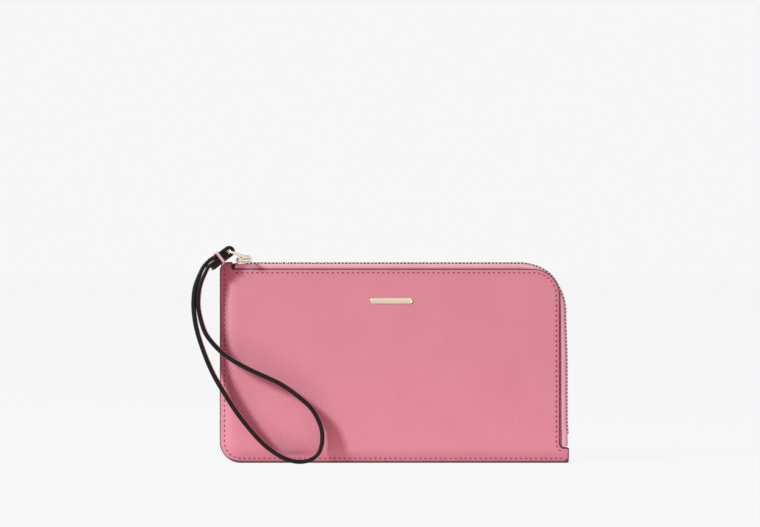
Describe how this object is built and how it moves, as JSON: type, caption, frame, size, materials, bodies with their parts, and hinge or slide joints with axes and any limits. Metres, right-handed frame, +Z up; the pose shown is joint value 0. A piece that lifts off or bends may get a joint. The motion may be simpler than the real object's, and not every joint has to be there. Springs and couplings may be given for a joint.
{
  "type": "wristlet wallet",
  "caption": "Slim leather zip pouch with an L-shaped mouth, card slots inside and a looped wrist strap on its zip pull.",
  "frame": {"origin": "middle of the bottom edge, on the surface that the wallet stands on", "axes": "+X to the right along the front, +Y to the back, +Z up; the strap side is -X and the front faces -Y"},
  "size_m": [0.2133, 0.0258, 0.1231],
  "materials": {
    "panel_leather": "pink saffiano-grained leather with a satin coat",
    "binding_leather": "smooth pink leather, folded",
    "slot_leather": "thin pink leather",
    "keeper_leather": "smooth pale pink leather",
    "strap_leather": "dark painted edges over pink leather faces",
    "stiffener_board": "pressed felt board",
    "lining_cloth": "woven lining",
    "zip_tape": "woven zip tape",
    "thread": "rose sewing thread",
    "zip_teeth": "pale gold plate, polished",
    "slider_metal": "pale gold plate, polished",
    "pull_metal": "pale gold plate, polished",
    "badge_metal": "pale gold plate, brushed"
  },
  "bodies": {
    "pouch": {"front_panel_lower": "panel_leather", "back_panel": "panel_leather", "front_stiffener_lower": "stiffener_board", "back_stiffener": "stiffener_board", "front_lining_lower": "lining_cloth", "back_lining": "lining_cloth", "back_binding": "binding_leather", "front_tape_ends": "zip_tape", "back_tape": "zip_tape", "front_teeth_end": "zip_teeth", "back_teeth": "zip_teeth", "top_stops": "zip_teeth", "bottom_stop": "zip_teeth", "mouth_end_tabs": "binding_leather", "slip_pocket": "lining_cloth", "card_slot_rear": "slot_leather", "card_slot_middle": "slot_leather", "card_slot_front": "slot_leather", "edge_thread_front": "thread", "edge_thread_back": "thread", "mouth_thread_back": "thread"},
    "front_flap": {"front_panel_upper": "panel_leather", "front_stiffener_upper": "stiffener_board", "front_lining_upper": "lining_cloth", "front_binding": "binding_leather", "front_tape": "zip_tape", "front_teeth": "zip_teeth", "mouth_thread_front": "thread", "badge_plate": "badge_metal"},
    "slider": {"slider_body": "slider_metal", "slider_bridge": "slider_metal"},
    "pull": {"zip_pull": "pull_metal"},
    "strap": {"wrist_strap": "strap_leather", "strap_thread": "thread"},
    "keeper": {"strap_keeper": "keeper_leather"}
  },
  "joints": [
    {"name": "slider_travel", "type": "slide", "parent": "pouch", "child": "slider", "axis": [1, 0, 0], "range_m": [0, 0.15]},
    {"name": "mouth_open", "type": "hinge", "parent": "pouch", "child": "front_flap", "pos_m": [-0.09171, -0.0047, 0.11035], "axis": [0.8777, 0, -0.4792], "range_deg": [0, 16], "stiffness_Nm_per_rad": 0.02},
    {"name": "pull_flip", "type": "hinge", "parent": "slider", "child": "pull", "pos_m": [-0.0829, 0, 0.1163], "axis": [0, 1, 0], "range_deg": [0, 120]},
    {"name": "strap_swing", "type": "hinge", "parent": "pull", "child": "strap", "pos_m": [-0.0933, -0.009, 0.12], "axis": [0, 1, 0], "range_deg": [0, 100]},
    {"name": "keeper_slide", "type": "slide", "parent": "strap", "child": "keeper", "axis": [-0.7699, -0.266, -0.5801], "range_m": [-0.0015, 0.001]}
  ]
}
